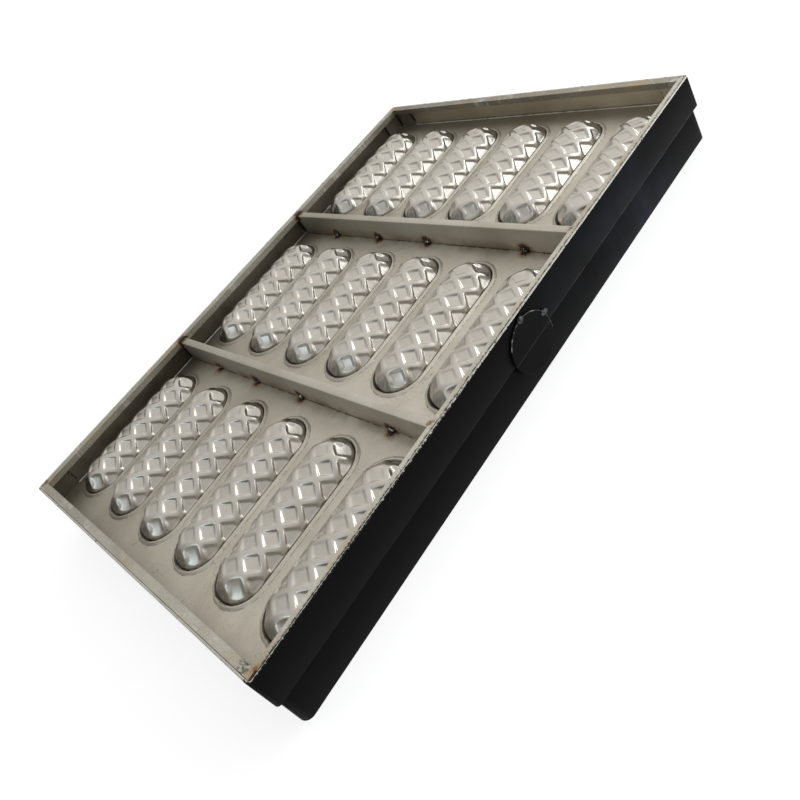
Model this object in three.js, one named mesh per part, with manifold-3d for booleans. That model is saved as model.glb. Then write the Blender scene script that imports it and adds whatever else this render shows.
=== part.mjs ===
// Waffle cake mould: eighteen waffle-pressed cups set in one pan, which hangs in a welded strip frame.
// Millimetres, +Z up. It stands on the pan's edge, with the backs of the cups and the frame's rim upward.
import * as THREE from 'three';
import { mergeVertices } from 'three/addons/utils/BufferGeometryUtils.js';
import Module from 'manifold-3d';

// Whole tray
const LENGTH = 600;
const WIDTH = 400;
const HEIGHT = 64;
const FIT = 0.3;
const SAME_POINT = 1e-4;

// Frame of strip steel: outer skirt, rails inside its rim, bars across and angles in its corners
const SKIRT_HEIGHT = 31.5;
const SKIRT_SHEET = 2;
const SKIRT_CORNER = 4;
const RAIL_WIDTH = 7;
const RIGHT_RAIL_WIDTH = 4.6;
const RAIL_HEIGHT = 6.4;
const RAIL_END_RADIUS = 4.8;
const BAR_THICKNESS = 8;
const BAR_DROP = 1;
const ANGLE_LEG = 26;
const ANGLE_SHEET = 2;

// Tack welds along the foot of each bar, and one on each of its ends
const TACK_RADIUS = 3.2;
const TACK_PLACES = [-132, -60, 14, 137];

// Pan: plate under the rim, turned down at its edge into the pan wall
const PLATE_DEPTH = 27;
const PAN_SHEET = 1.2;
const PAN_BEND = 1.8;
const PAN_LIP = 1.2;
const PAN_CORNER = 8;

// Cups, in rows across the tray, with a margin between the outer collars and the plate's bent edge
const ROWS = 3;
const COLUMNS = 6;
const SIDE_MARGIN = 0.65;
const END_MARGIN = 18;
const CUP_WIDTH = 49;
const CUP_RISE = 17;
const CUP_SHEET = 0.9;

// Waffle pattern: diamond pits between crossing ribs, on the crown and on both flanks of a cup
const PITS_ALONG = 7;
const PIT_PITCH = 21.3;
const PIT_DEPTH = 1.8;
const PIT_FLOOR_SHARE = 0.7;
const FLANK_CROSSING = THREE.MathUtils.degToRad(52);
const TIP_STEP = THREE.MathUtils.degToRad(62);
const CELL_REACH = 0.6 * PIT_PITCH;

// Raised collar of the plate round each cup
const COLLAR_WIDTH = 4.2;
const COLLAR_CREST = 1.6;
const COLLAR_RISE = 1.6;

// Round plate on the long side, over the seam between skirt and pan wall
const DISC_RADIUS = 24.8;
const DISC_PROUD = 3;
const DISC_EDGE = 1;
const DISC_ALONG = 5;
const DISC_ABOVE_SEAM = 2;
const DISC_TACKS = [90, 22];
const DISC_TACK_RADIUS = 4;
const DISC_TACK_FLATNESS = 0.3;

// Steps of the rounded shapes
const CORNER_STEPS = 4;
const DISC_STEPS = 28;

const wasm = await Module();
wasm.setup();

// Places worked out from the sizes above
const cupLength = PITS_ALONG * PIT_PITCH;
const plateTop = HEIGHT - PLATE_DEPTH;
const plateUnder = plateTop - PAN_SHEET;
const skirtFoot = HEIGHT - SKIRT_HEIGHT;
const panLip = plateTop - PAN_BEND - PAN_LIP;
const skirtInner = SKIRT_SHEET + FIT;
const railInner = skirtInner + RAIL_WIDTH;
const rightRailInner = skirtInner + RIGHT_RAIL_WIDTH;
const plateEdge = skirtInner + PAN_BEND;
const collarReach = FIT + COLLAR_WIDTH;
const columnSpan = WIDTH - 2 * (plateEdge + SIDE_MARGIN + collarReach) - CUP_WIDTH;
const rowSpan = LENGTH - 2 * (plateEdge + END_MARGIN + collarReach) - cupLength;
const columnPitch = columnSpan / (COLUMNS - 1);
const rowPitch = rowSpan / (ROWS - 1);

const finish = {
  bare: { color: 0xa7a196, roughness: 0.5, metalness: 0.75 },
  cup: { color: 0xb3aea4, roughness: 0.35, metalness: 0.85 },
  black: { color: 0x1d1e20, roughness: 0.42, metalness: 0.2 },
};

const mould = new THREE.Group();

function add(name, geometry, surface) {
  const mesh = new THREE.Mesh(geometry, new THREE.MeshStandardMaterial(finish[surface]));
  mesh.name = name;
  mould.add(mesh);
  return mesh;
}

// Closed surface from a flat list of triangle corners
function surfaceOf(corners) {
  const geometry = new THREE.BufferGeometry().setFromPoints(corners);
  return mergeVertices(geometry, SAME_POINT);
}

// Triangles between neighbouring loops of points, from the first loop to the last
function bridge(loops) {
  const corners = [];
  for (let step = 0; step + 1 < loops.length; step += 1) {
    const low = loops[step];
    const high = loops[step + 1];
    low.forEach((point, i) => {
      const next = (i + 1) % low.length;
      corners.push(point, low[next], high[next], point, high[next], high[i]);
    });
  }
  return corners;
}

// Level face inside an outline, with holes, turned up or down
function levelFace(outline, holes, up) {
  const loops = [outline, ...holes.map((hole) => [...hole].reverse())];
  const points = loops.flat();
  const triangles = wasm.triangulate(loops.map((loop) => loop.map((p) => [p.x, p.y])));
  return triangles.flatMap(([a, b, c]) => {
    const order = up ? [a, b, c] : [c, b, a];
    return order.map((i) => points[i]);
  });
}

// Rounded rectangle of the tray, drawn in from its outer edge
function trayLoop(inset, radius, z) {
  const loop = [];
  const across = WIDTH / 2 - inset - radius;
  const along = LENGTH / 2 - inset - radius;
  const centres = [[across, along], [-across, along], [-across, -along], [across, -along]];
  centres.forEach(([x, y], quarter) => {
    for (let step = 0; step <= CORNER_STEPS; step += 1) {
      const turn = (quarter + step / CORNER_STEPS) * Math.PI / 2;
      loop.push(new THREE.Vector3(x + radius * Math.cos(turn), y + radius * Math.sin(turn), z));
    }
  });
  return loop;
}

// Band of sheet standing round the tray
function trayBand(inset, sheet, corner, foot, top) {
  const outer = (z) => trayLoop(inset, corner, z);
  const inner = (z) => trayLoop(inset + sheet, corner - sheet, z);
  const loops = [outer(foot), outer(top), inner(top), inner(foot), outer(foot)];
  return surfaceOf(bridge(loops));
}

function boxBetween(low, high) {
  const size = high.clone().sub(low);
  const box = new THREE.BoxGeometry(size.x, size.y, size.z);
  return box.translate(low.x + size.x / 2, low.y + size.y / 2, low.z + size.z / 2);
}

function toSolid(geometry) {
  const bare = geometry.clone();
  bare.deleteAttribute('normal');
  bare.deleteAttribute('uv');
  const merged = mergeVertices(bare, SAME_POINT);
  const mesh = new wasm.Mesh({
    numProp: 3,
    vertProperties: new Float32Array(merged.attributes.position.array),
    triVerts: new Uint32Array(merged.index.array),
  });
  return new wasm.Manifold(mesh);
}

function fromSolid(solid) {
  const mesh = solid.getMesh();
  const geometry = new THREE.BufferGeometry();
  geometry.setAttribute('position', new THREE.BufferAttribute(mesh.vertProperties, 3));
  geometry.setIndex(new THREE.BufferAttribute(mesh.triVerts, 1));
  return geometry;
}

// One closed body from a piece and the weld metal on it
function fuse(piece, tacks) {
  return fromSolid(wasm.Manifold.union([piece, ...tacks].map(toSolid)));
}

function tack(radius, x, y, z) {
  return new THREE.IcosahedronGeometry(radius, 0).translate(x, y, z);
}

// Frame

function buildSkirt() {
  add('skirt_band', trayBand(0, SKIRT_SHEET, SKIRT_CORNER, skirtFoot, HEIGHT), 'black');
}

// The near rail runs from wall to wall, the long rails reach the far wall, the far rail fits between them
function buildRails() {
  const foot = HEIGHT - RAIL_HEIGHT;
  const wallX = WIDTH / 2 - skirtInner;
  const wallY = LENGTH / 2 - skirtInner;
  const leftX = WIDTH / 2 - railInner;
  const rightX = WIDTH / 2 - rightRailInner;
  const innerY = LENGTH / 2 - railInner;
  const cornerGap = SKIRT_CORNER - SKIRT_SHEET;
  const straightRail = (x0, x1, y0, y1) => {
    const low = new THREE.Vector3(x0, y0, foot);
    const high = new THREE.Vector3(x1, y1, HEIGHT);
    return boxBetween(low, high);
  };
  add('rail_near', straightRail(cornerGap - wallX, wallX - cornerGap, -wallY, -innerY), 'bare');
  add('rail_far', straightRail(FIT - leftX, rightX - FIT, innerY, wallY), 'bare');
  for (const [name, side, innerX] of [['rail_left', -1, leftX], ['rail_right', 1, rightX]]) {
    const endRadius = Math.min(RAIL_END_RADIUS, wallX - cornerGap - innerX);
    const outline = new THREE.Shape();
    outline.moveTo(innerX, FIT - innerY);
    outline.lineTo(wallX, FIT - innerY);
    outline.lineTo(wallX, wallY - cornerGap);
    outline.lineTo(wallX - cornerGap, wallY);
    outline.absarc(innerX + endRadius, wallY - endRadius, endRadius, Math.PI / 2, Math.PI);
    outline.closePath();
    const rail = new THREE.ExtrudeGeometry(outline, {
      depth: RAIL_HEIGHT,
      bevelEnabled: false,
      curveSegments: CORNER_STEPS,
    });
    rail.translate(0, 0, foot);
    if (side < 0) {
      rail.rotateY(Math.PI);
      rail.translate(0, 0, HEIGHT + foot);
    }
    add(name, rail, 'bare');
  }
}

function buildCrossBars() {
  const left = railInner + FIT - WIDTH / 2;
  const right = WIDTH / 2 - rightRailInner - FIT;
  const foot = plateTop + FIT;
  const top = HEIGHT - BAR_DROP;
  const half = BAR_THICKNESS / 2;
  for (const [name, y] of [['cross_bar_near', -rowPitch / 2], ['cross_bar_far', rowPitch / 2]]) {
    const low = new THREE.Vector3(left, y - half, foot);
    const high = new THREE.Vector3(right, y + half, top);
    const tacks = TACK_PLACES.map((x) => tack(TACK_RADIUS, x, y - half, foot + TACK_RADIUS));
    for (const end of [left + TACK_RADIUS, right - TACK_RADIUS]) {
      tacks.push(tack(TACK_RADIUS, end, y, HEIGHT - TACK_RADIUS));
    }
    add(name, fuse(boxBetween(low, high), tacks), 'bare');
  }
}

function buildCornerAngles() {
  const foot = plateTop + FIT;
  const top = HEIGHT - RAIL_HEIGHT - FIT;
  const wallX = WIDTH / 2 - skirtInner;
  const wallY = LENGTH / 2 - skirtInner;
  const heel = SKIRT_CORNER - SKIRT_SHEET;
  const outline = new THREE.Shape();
  outline.moveTo(0, heel);
  outline.lineTo(heel, 0);
  outline.lineTo(ANGLE_LEG, 0);
  outline.lineTo(ANGLE_LEG, ANGLE_SHEET);
  outline.lineTo(heel + ANGLE_SHEET, ANGLE_SHEET);
  outline.lineTo(ANGLE_SHEET, heel + ANGLE_SHEET);
  outline.lineTo(ANGLE_SHEET, ANGLE_LEG);
  outline.lineTo(0, ANGLE_LEG);
  outline.closePath();
  const angle = new THREE.ExtrudeGeometry(outline, { depth: top - foot, bevelEnabled: false });
  const corners = [
    ['near_left', -1, -1],
    ['near_right', 1, -1],
    ['far_right', 1, 1],
    ['far_left', -1, 1],
  ];
  corners.forEach(([place, sideX, sideY], quarter) => {
    const mesh = add(`corner_angle_${place}`, angle, 'bare');
    mesh.rotation.z = quarter * Math.PI / 2;
    mesh.position.set(sideX * wallX, sideY * wallY, foot);
  });
}

// Cups

// Point of a cup's dome: its height comes from the angle round its section, its ends are rounded
function domePoint(inset, angle, y) {
  const half = CUP_WIDTH / 2;
  const straight = cupLength / 2 - half;
  const past = Math.min(Math.max(Math.abs(y) - straight, 0) / half, 1);
  const round = Math.sqrt(1 - past * past);
  const along = Math.min(Math.abs(y), straight) + past * (half - inset);
  const x = (half - inset) * round * Math.cos(angle);
  const z = (CUP_RISE - inset) * round * Math.sin(angle);
  return new THREE.Vector3(x, Math.sign(y) * along, z);
}

const tipY = cupLength / 2;
const tipStepY = tipY - CUP_WIDTH / 2 * (1 - Math.sin(TIP_STEP));
const lastNode = (PITS_ALONG - 1) / 2;
const straightFoot = (lastNode - 1) * PIT_PITCH;

// Angles and places along the cup of a half of its foot, from one tip to the other
function footSide(mirror) {
  const places = [-tipStepY];
  for (let node = -lastNode; node <= lastNode; node += 1) {
    places.push(node * PIT_PITCH);
    const beforeEnd = Math.abs(node + 0.5) === lastNode - 0.5;
    if (beforeEnd) places.push((node + 0.5) * PIT_PITCH);
  }
  places.push(tipStepY);
  return places.map((y) => [mirror ? Math.PI : 0, y]);
}

function footParams() {
  return [[0, -tipY], ...footSide(false), [0, tipY], ...footSide(true).reverse()];
}

// Outline of a cup's foot, grown outward, with no points between the ends of its straight sides
function footLoop(grow, z) {
  const shaped = footParams().filter(([, y]) => Math.abs(y) > straightFoot - SAME_POINT);
  return shaped.map(([angle, y]) => domePoint(-grow, angle, y).setZ(z));
}

// Cells of the waffle lattice, each a ring of (angle, place) corners where ribs cross
function waffleCells() {
  const top = Math.PI / 2;
  const cells = [];
  for (let node = -lastNode; node < lastNode; node += 1) {
    const from = node * PIT_PITCH;
    const to = from + PIT_PITCH;
    const [right, left] = [FLANK_CROSSING, Math.PI - FLANK_CROSSING].map((a) => [a, (from + to) / 2]);
    cells.push([[top, from], right, [top, to], left]);
  }
  for (const turn of [(a) => a, (a) => Math.PI - a]) {
    const flank = turn(FLANK_CROSSING);
    const foot = turn(0);
    for (let node = 1 - lastNode; node < lastNode; node += 1) {
      const y = node * PIT_PITCH;
      cells.push([[top, y], [flank, y - PIT_PITCH / 2], [foot, y], [flank, y + PIT_PITCH / 2]]);
    }
    for (let node = -lastNode; node < lastNode; node += 1) {
      const middle = (node + 0.5) * PIT_PITCH;
      const side = footSide(foot > 0).filter(([, y]) => Math.abs(y - middle) < CELL_REACH);
      cells.push([[flank, middle], ...side]);
    }
    for (const end of [-1, 1]) {
      const y = end * lastNode * PIT_PITCH;
      const shoulder = [flank, y - end * PIT_PITCH / 2];
      const tip = [(top + foot) / 2, end * tipY];
      cells.push([[top, y], shoulder, [foot, y], [foot, end * tipStepY], tip]);
    }
  }
  return cells;
}

// One skin of the cup: each cell is a flat-floored pit whose sides rise to the ribs round it
function waffleSkin(inset) {
  const corners = [];
  for (const cell of waffleCells()) {
    const count = cell.length;
    const centre = [0, 1].map((k) => cell.reduce((sum, corner) => sum + corner[k], 0) / count);
    const inward = (value, k) => centre[k] + (value - centre[k]) * PIT_FLOOR_SHARE;
    const rim = cell.map(([angle, y]) => domePoint(inset, angle, y));
    const floor = cell.map((corner) => domePoint(inset + PIT_DEPTH, ...corner.map(inward)));
    const turn = cell.reduce((sum, [a, y], i) => {
      const [nextA, nextY] = cell[(i + 1) % count];
      return sum + a * nextY - nextA * y;
    }, 0);
    if (turn > 0) {
      rim.reverse();
      floor.reverse();
    }
    corners.push(...bridge([rim, floor]));
    for (let i = 1; i + 1 < count; i += 1) corners.push(floor[0], floor[i], floor[i + 1]);
  }
  return corners;
}

function cupGeometry() {
  const outer = waffleSkin(0);
  const inner = waffleSkin(CUP_SHEET).reverse();
  const edge = (inset) => footParams().map(([angle, y]) => domePoint(inset, angle, y));
  return surfaceOf([...outer, ...inner, ...bridge([edge(CUP_SHEET), edge(0)])]);
}

function cupPlaces() {
  const places = [];
  for (let row = 1; row <= ROWS; row += 1) {
    for (let column = 1; column <= COLUMNS; column += 1) {
      const x = (column - (COLUMNS + 1) / 2) * columnPitch;
      const y = (row - (ROWS + 1) / 2) * rowPitch;
      places.push({ name: `cup_r${row}_c${column}`, x, y });
    }
  }
  return places;
}

function buildCups() {
  const geometry = cupGeometry();
  for (const { name, x, y } of cupPlaces()) {
    add(name, geometry, 'cup').position.set(x, y, plateUnder);
  }
}

// Pan

function buildPan() {
  const edge = (inset, z) => trayLoop(skirtInner + inset, PAN_CORNER - inset, z);
  const bend = (radius, turn) => {
    const inset = PAN_BEND - radius * Math.sin(turn);
    const z = plateTop - PAN_BEND + radius * Math.cos(turn);
    return edge(inset, z);
  };
  const innerBend = PAN_BEND - PAN_SHEET;
  const eighth = Math.PI / 4;
  const under = bend(innerBend, 0);
  const over = bend(PAN_BEND, 0);
  const loops = [
    under,
    bend(innerBend, eighth),
    bend(innerBend, 2 * eighth),
    edge(PAN_SHEET, panLip),
    edge(0, panLip),
    bend(PAN_BEND, 2 * eighth),
    bend(PAN_BEND, eighth),
    over,
  ];
  const corners = bridge(loops);
  const holesOver = [];
  const holesUnder = [];
  for (const { x, y } of cupPlaces()) {
    const loop = (grow, z) => footLoop(FIT + grow, z).map((p) => p.add(new THREE.Vector3(x, y, 0)));
    const collarFoot = loop(COLLAR_WIDTH, plateTop);
    const hole = loop(0, plateUnder);
    corners.push(...bridge([collarFoot, loop(COLLAR_CREST, plateTop + COLLAR_RISE), hole]));
    holesOver.push(collarFoot);
    holesUnder.push(hole);
  }
  corners.push(...levelFace(over, holesOver, true), ...levelFace(under, holesUnder, false));
  const plate = toSolid(surfaceOf(corners));
  // The seams between the panels lie under the bars
  const names = ['near', 'middle', 'far'];
  names.forEach((name, row) => {
    const from = row === 0 ? -LENGTH : (row - ROWS / 2) * rowPitch + FIT / 2;
    const to = row === ROWS - 1 ? LENGTH : (row + 1 - ROWS / 2) * rowPitch - FIT / 2;
    const low = new THREE.Vector3(-WIDTH, from, 0);
    const high = new THREE.Vector3(WIDTH, to, HEIGHT);
    add(`pan_panel_${name}`, fromSolid(plate.intersect(toSolid(boxBetween(low, high)))), 'bare');
  });
  add('pan_wall', trayBand(skirtInner, PAN_SHEET, PAN_CORNER, 0, panLip - FIT), 'black');
}

// Side plate

function buildDisc() {
  const face = DISC_PROUD - FIT;
  const profile = [
    [0, 0],
    [DISC_RADIUS, 0],
    [DISC_RADIUS, face - DISC_EDGE],
    [DISC_RADIUS - DISC_EDGE, face],
    [0, face],
  ];
  const disc = new THREE.LatheGeometry(profile.map(([r, h]) => new THREE.Vector2(r, h)), DISC_STEPS);
  disc.rotateZ(-Math.PI / 2);
  const tacks = DISC_TACKS.map((degrees) => {
    const turn = THREE.MathUtils.degToRad(degrees);
    const y = DISC_RADIUS * Math.cos(turn);
    const z = DISC_RADIUS * Math.sin(turn);
    const bead = tack(DISC_TACK_RADIUS, 0, 0, 0).scale(DISC_TACK_FLATNESS, 1, 1);
    return bead.translate(DISC_PROUD / 2, y, z);
  });
  const mesh = add('side_disc', fuse(disc, tacks), 'black');
  mesh.position.set(WIDTH / 2 + FIT, DISC_ALONG, skirtFoot + DISC_ABOVE_SEAM);
}

buildSkirt();
buildRails();
buildCrossBars();
buildCornerAngles();
buildCups();
buildPan();
buildDisc();

// The origin lies under the middle of the whole part, side plate included
mould.position.x = -DISC_PROUD / 2;

export default mould;
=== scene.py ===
"""Waffle cake mould, seen from its back.

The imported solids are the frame. Finer cups, pan, bands, bars, welds and a side disc stand for the plain
solids, the rails and corner angles keep theirs, and every surface gets a procedural steel or coating.
"""
import math

import bmesh
import bpy
import numpy as np
from mathutils import Matrix, Vector, noise


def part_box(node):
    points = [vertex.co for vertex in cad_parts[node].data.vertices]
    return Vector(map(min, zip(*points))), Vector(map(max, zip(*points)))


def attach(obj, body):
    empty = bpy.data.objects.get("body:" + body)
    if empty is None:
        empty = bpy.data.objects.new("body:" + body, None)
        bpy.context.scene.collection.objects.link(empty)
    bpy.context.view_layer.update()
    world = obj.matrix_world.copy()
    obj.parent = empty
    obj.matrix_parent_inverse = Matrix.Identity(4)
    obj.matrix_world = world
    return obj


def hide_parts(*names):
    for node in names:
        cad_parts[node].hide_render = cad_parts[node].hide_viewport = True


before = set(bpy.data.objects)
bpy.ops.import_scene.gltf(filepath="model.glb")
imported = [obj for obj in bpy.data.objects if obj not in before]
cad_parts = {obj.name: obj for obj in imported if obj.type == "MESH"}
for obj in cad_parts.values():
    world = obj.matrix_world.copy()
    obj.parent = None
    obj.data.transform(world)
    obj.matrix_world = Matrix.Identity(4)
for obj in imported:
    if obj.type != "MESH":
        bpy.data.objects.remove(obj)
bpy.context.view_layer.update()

MM = 0.001


def colour(red, green, blue):
    return (red, green, blue, 1.0)


def in_mm(*sizes):
    """Millimetres as metres."""
    return tuple(size * MM for size in sizes)


# Places and sizes that the solids give
SKIRT_LOW, SKIRT_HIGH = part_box("skirt_band")
WALL_LOW, WALL_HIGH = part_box("pan_wall")
CUP_LOW, CUP_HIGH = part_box("cup_r1_c1")
DISC_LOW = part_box("side_disc")[0]
RAIL_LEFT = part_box("rail_left")[1].x
RAIL_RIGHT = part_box("rail_right")[0].x
TRAY = (SKIRT_LOW + SKIRT_HIGH) / 2
RIM = SKIRT_HIGH.z
BARS = ("near", "far")

# Sheets and clearances
FIT = 0.3 * MM
SKIRT_SHEET = 2 * MM
SKIRT_CORNER = 4 * MM
PAN_SHEET = 1.2 * MM
PAN_BEND = 1.8 * MM
PAN_LIP = 1.2 * MM
PAN_CORNER = 8 * MM
PAN_BEAD = 0.7 * MM
BEND_STEPS = 4
BEAD_STEPS = 8
WORN_AND_HIGHLIT_RINGS = slice(-6, -1)
CUT_EDGE = 0.35 * MM
CUT_ROUND = 0.3
SIDE_STEP = 6 * MM
CORNER_STEPS = 8
SHEET_WANDER = 0.12 * MM
WANDER_ALONG = 35
WANDER_UP = 90
BAND_MERGE = 0.01 * MM
PLATE_TOP = CUP_LOW.z + PAN_SHEET
PAN_INSET = WALL_LOW.x - SKIRT_LOW.x
RAIL_BEVEL = 0.6 * MM
ANGLE_BEVEL = 0.3 * MM
BEVEL_STEPS = 3
BEVEL_ANGLE = math.radians(50)

# Finishes of a band, and how squarely a face looks along the tray to count as an end
COAT, INSIDE, EDGE, FAR_INSIDE, NEAR_INSIDE, NEAR_COAT = range(6)
SQUARE_ON = 0.7

# Waffle pattern on a cup: ribs cross the crown and the flanks, with pits between them
CUP_HALF = (CUP_HIGH.x - CUP_LOW.x) / 2
CUP_TIP = (CUP_HIGH.y - CUP_LOW.y) / 2
CUP_RISE = CUP_HIGH.z - CUP_LOW.z
CUP_SHEET = 0.9 * MM
PIT_PITCH = 2 * CUP_TIP / 7
PIT_DEPTH = 1.8 * MM
CROWN_PIT_DEPTH = 1.35 * MM
PIT_FLATNESS = 0.6
PIT_EDGE = 2.0
ROW_ANGLE = math.radians(35.75)
RIB_SPAN = 8.1 * MM
RIB_TOP = 0.15
RIB_FOOT = 0.40
FOOT_BAND = 3.0 * MM
END_BAND = 0.3 * MM
FOOT_PIT_ROW = 1.72
FOOT_PIT_FLATNESS = 0.85
SIDE_PIT_FLATNESS = 1.4
SIDE_PIT_DEPTH = 2.7 * MM
LAST_RIB = 6
TIP_RIB_START = 13.85 * MM
TIP_RIB_TURN = math.radians(21.5)
TIP_RIB_BENT = 0.6
SIDE_RIB_TURNS = (math.radians(77.3), math.radians(63.5))
SIDE_PIT = (1.18, 2.95)
TIP_PIT = (0.0, 3.31)
FOOT_FLARE = 0.5 * MM
FLARE_RISE = 2.0 * MM
CUP_STEPS_ROUND = 116
CUP_STEPS_ALONG = 180
CUP_STEPS_END = 34
CUP_MERGE = 0.004 * MM

# Collar of the plate round each cup
COLLAR_WIDTH = 4.2 * MM
COLLAR_RISE = 1.6 * MM
COLLAR_CREST = 0.68
COLLAR_ROLL = 0.3
COLLAR_GAP = 0.9 * MM
COLLAR_FOOT_GAP = -0.12 * MM
UNDER_EDGE = 0.2 * MM
COLLAR_SKIRT = 0.4 * MM
COLLAR_STEPS = 12

# Dirt and painted shade on the collars, by ring from the outer foot (1) to the foot of the hole (-2), and
# painted shade in the gap on the side where it shows
COLLAR_DIRT_AND_SHADE = {1: 0.75, 2: 0.6, -4: 0.2, -3: 0.6, -2: 1.0}
GAP_SHADE = {-7: 0.4, -6: 0.9, -5: 1.0, -4: 1.0, -3: 1.0}
GAP_SIDE = Vector((-0.8, -0.6, 0))
GAP_SPREAD = 0.2

# Bars across the frame
BAR_THICKNESS = 8 * MM
BAR_DROP = 1 * MM
BAR_EDGE = 0.9 * MM
BAR_EDGE_STEPS = 3
BAR_STEP = 6 * MM
BAR_WANDER = 0.18 * MM
BAR_WAVES = 9
BARS_APART = 5.0

# Weld beads on the bars and the corner angles
WELD_UNEVEN = 0.28
WELD_BUMPS = 1.6
WELD_SHIFT = (7.3, 1.9)
WELD_RADIUS = 3.0 * MM
WELD_SHAPE = Vector((1.05, 0.75, 0.8)) * WELD_RADIUS
WELD_SUNK = WELD_RADIUS * 0.25
WELD_INWARD = WELD_RADIUS * 0.6
WELDS_ALONG = [-132 * MM, -60 * MM, 14 * MM, 137 * MM]
END_RUN_LUMPS = 5
END_RUN_STEP = 3.6 * MM
END_RUN_IN = 3 * MM
END_RUN_SIDE = 2.5 * MM
END_RUN_TOP = RIM - 8.5 * MM
END_RUN_SIZE = Vector((4.6, 2.4, 3.0)) * MM
ANGLE_SEED = 70
ANGLE_HEEL = 3.2 * MM
ANGLE_EDGE_WELD = Vector((1.6, 1.6, 2.9)) * MM
ANGLE_EDGE_SHARES = (0.35, 0.6, 0.85)
ANGLE_HEEL_WELD = Vector((1.3, 1.3, 2.8)) * MM
ANGLE_HEEL_SHARES = (0.08, 0.24, 0.4, 0.56, 0.72, 0.9)

# Round plate on the long side
DISC_RADIUS = 24.8 * MM
DISC_SHEET = 1.7 * MM
DISC_EDGE = 0.5 * MM
DISC_EDGE_STEPS = 4
DISC_STEPS = 112
DISC_RINGS = 26
DISC_DENT = 0.15 * MM
DISC_DENTS = 60
CREASE_DEPTH = 0.12 * MM
CREASE_WIDTH = 2.2 * MM
CREASE_DROP = 1.8 * MM
DISC_SEED = 40
DISC_WELDS = [math.radians(90), math.radians(22)]
DISC_WELD_SIZE = Vector((1.1, 3.6, 2.6)) * MM
# Upper arc of the disc's rim, scuffed bare and partly a painted highlight
RUBBED_LIT_ARC = (math.radians(-18), math.radians(150))

# Light and dark tone of each steel, and of each weld with the share that is scaled
STEELS = {
    "pan_steel": (colour(0.63, 0.595, 0.525), colour(0.50, 0.465, 0.395)),
    "frame_steel": (colour(0.57, 0.54, 0.475), colour(0.45, 0.42, 0.355)),
    "angle_steel": (colour(0.50, 0.46, 0.38), colour(0.38, 0.34, 0.27)),
    # Painted shade: a darker copy of the angle steel, for the near left angle
    "shaded_angle_steel": (colour(0.26, 0.23, 0.18), colour(0.15, 0.13, 0.10)),
    "rail_steel": (colour(0.60, 0.575, 0.51), colour(0.455, 0.43, 0.365)),
    "far_rail_steel": (colour(0.41, 0.38, 0.32), colour(0.31, 0.28, 0.225)),
    # Inside faces of the bands, by which way they face: the side walls dark steel with painted shade, the far
    # wall painted light, the near wall painted mid-grey light
    "dark_shaded_inside_steel": (colour(0.34, 0.30, 0.24), colour(0.20, 0.17, 0.13)),
    "lit_far_inside_steel": (colour(0.80, 0.73, 0.60), colour(0.65, 0.58, 0.455)),
    "lit_near_inside_steel": (colour(0.53, 0.51, 0.47), colour(0.39, 0.375, 0.34)),
}
WELDS = {
    "weld_bead": (colour(0.9, 0.88, 0.85), colour(0.02, 0.016, 0.014), 0.52),
    "weld_black": (colour(0.10, 0.085, 0.07), colour(0.012, 0.010, 0.009), 0.4),
    "weld_grey": (colour(0.14, 0.155, 0.17), colour(0.02, 0.022, 0.025), 0.4),
    "weld_coated": (colour(0.13, 0.125, 0.12), colour(0.006, 0.006, 0.006), 0.4),
}
STEEL_METAL = 0.78
WELD_METAL = 0.85

# Painted light and shade: steel is painted darker to the left of the tray and lighter to the right
PAINTED_SHADE_LEFT = colour(0.84, 0.835, 0.81)
PAINTED_LIGHT_RIGHT = colour(1.22, 1.22, 1.22)

# Rust and burnt steel: how far each reaches from its middle, from no tint to full tint
RUST_ORANGE = colour(0.48, 0.21, 0.05)
RUST_BROWN = colour(0.15, 0.065, 0.02)
RUST_DARK = colour(0.20, 0.10, 0.035)
BURNT = colour(0.02, 0.016, 0.013)
RUST_RAGGED = 9 * MM
HALO_REACH = in_mm(11, 4.5)
BURNT_REACH = in_mm(7.0, 4.8)
SPOT_REACH = in_mm(4.2, 1.0)

# Dirt, scratches, painted shade and painted shadow on the plate and the bars, and a darker brown low on the
# bars
# Dirt and painted shade on the collars and in their gaps
GRIME_AND_SHADE = colour(0.045, 0.038, 0.03)
# Painted shade on the plate towards the far and left walls
WALL_SHADE = colour(0.20, 0.165, 0.11)
WALL_RAGGED = 14 * MM
FAR_REACH = in_mm(34, 12)
LEFT_REACH = in_mm(64, 8)
SCRATCH = colour(0.22, 0.19, 0.15)
SCRATCH_CELLS = 17.0
# Painted shade beside each bar, and a painted shadow line along each bar's foot
BAR_SHADE = colour(0.24, 0.18, 0.11)
BAR_SHADE_REACH = in_mm(11, 1)
BAR_FOOT_SHADOW = colour(0.07, 0.045, 0.03)
BAR_FOOT_SHADOW_REACH = in_mm(0.8, 0.3)
# Darker brown towards the bars' foot
FOOT_DARKENING = colour(0.22, 0.165, 0.10)
FOOT_REACH = in_mm(15, 1)
# Bead along the wall's foot, scuffed bright and partly a painted highlight
RUBBED_AND_HIGHLIT = colour(0.82, 0.79, 0.72)

# Wear on the rails: a tanned near right corner, paint over the right edge, painted shadow dashes along the
# seam by that edge, and a smear on the near rail
PITTED = colour(0.2, 0.18, 0.15)
FLECKED = colour(0.85, 0.84, 0.82)
SCRAPED = colour(0.84, 0.83, 0.80)
TANNED = colour(0.50, 0.38, 0.22)
CORNER_TAN = colour(0.45, 0.29, 0.12)
CORNER_RAGGED = 24 * MM
CORNER_REACH = in_mm(38, 5)
CORNER_WIDTH = 6 * MM
LAPPED = colour(0.03, 0.028, 0.024)
LAP_RAGGED = 8 * MM
LAP_REACH = in_mm(1.9, 1.2)
LAP_SLANT = -0.004
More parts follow.
